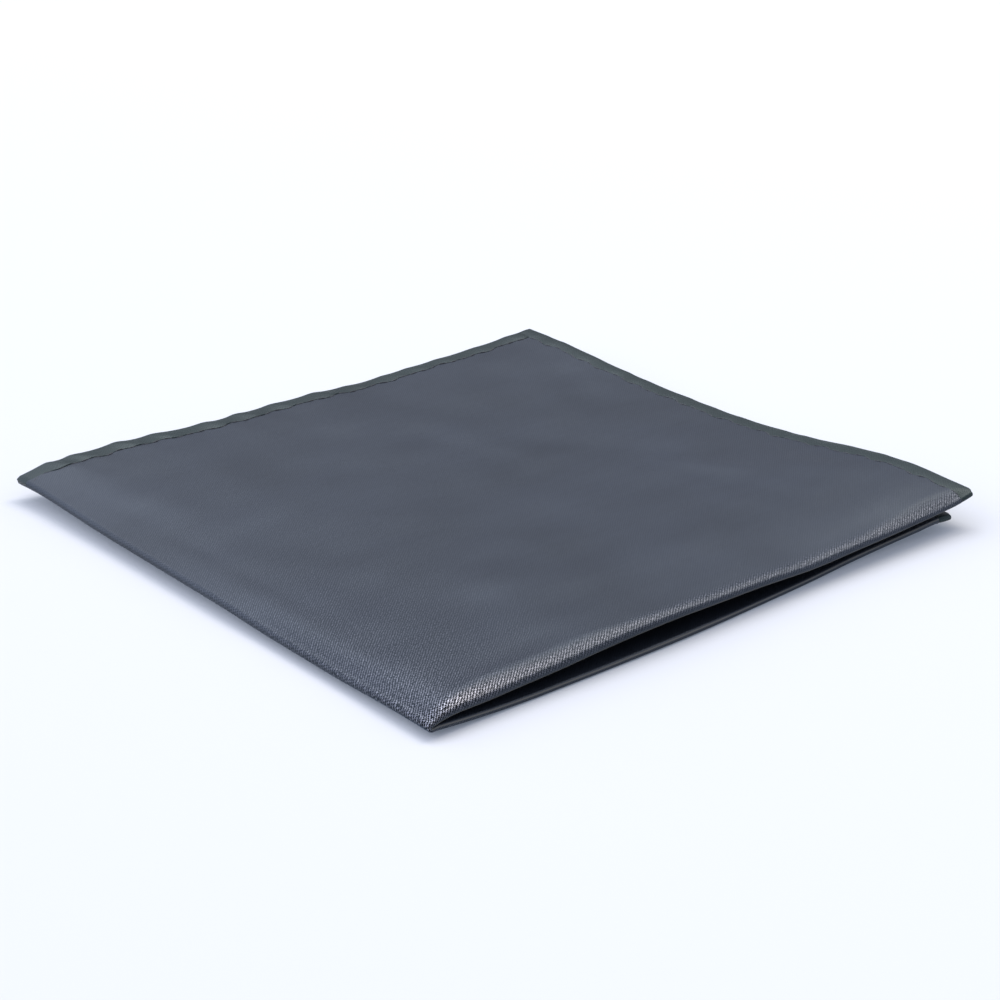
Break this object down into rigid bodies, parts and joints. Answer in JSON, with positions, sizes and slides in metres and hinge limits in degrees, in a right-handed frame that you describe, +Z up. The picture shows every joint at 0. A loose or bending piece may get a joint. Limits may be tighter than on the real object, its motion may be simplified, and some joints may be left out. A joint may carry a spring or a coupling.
{
  "type": "pocket square, folded in quarters",
  "caption": "Dark slate-grey satin pocket square with turned hems, folded in quarters and lying flat, its folded lips a little open.",
  "frame": {"origin": "under the middle of the folded square, on the surface that it lies on", "axes": "+Z up; the closed fold along Y at -X, the folded lips along X at -Y, the hemmed edges at +X and +Y"},
  "size_m": [0.1106, 0.1106, 0.0074],
  "materials": {
    "satin": "slate-grey satin weave with a soft sheen",
    "satin_hem": "the same satin turned twice and stitched, puckered"
  },
  "bodies": {
    "root": {"upper_leaf": "satin", "lower_leaf": "satin", "upper_left_hem": "satin_hem", "lower_left_hem": "satin_hem", "upper_right_hem": "satin_hem", "lower_right_hem": "satin_hem"}
  },
  "joints": []
}
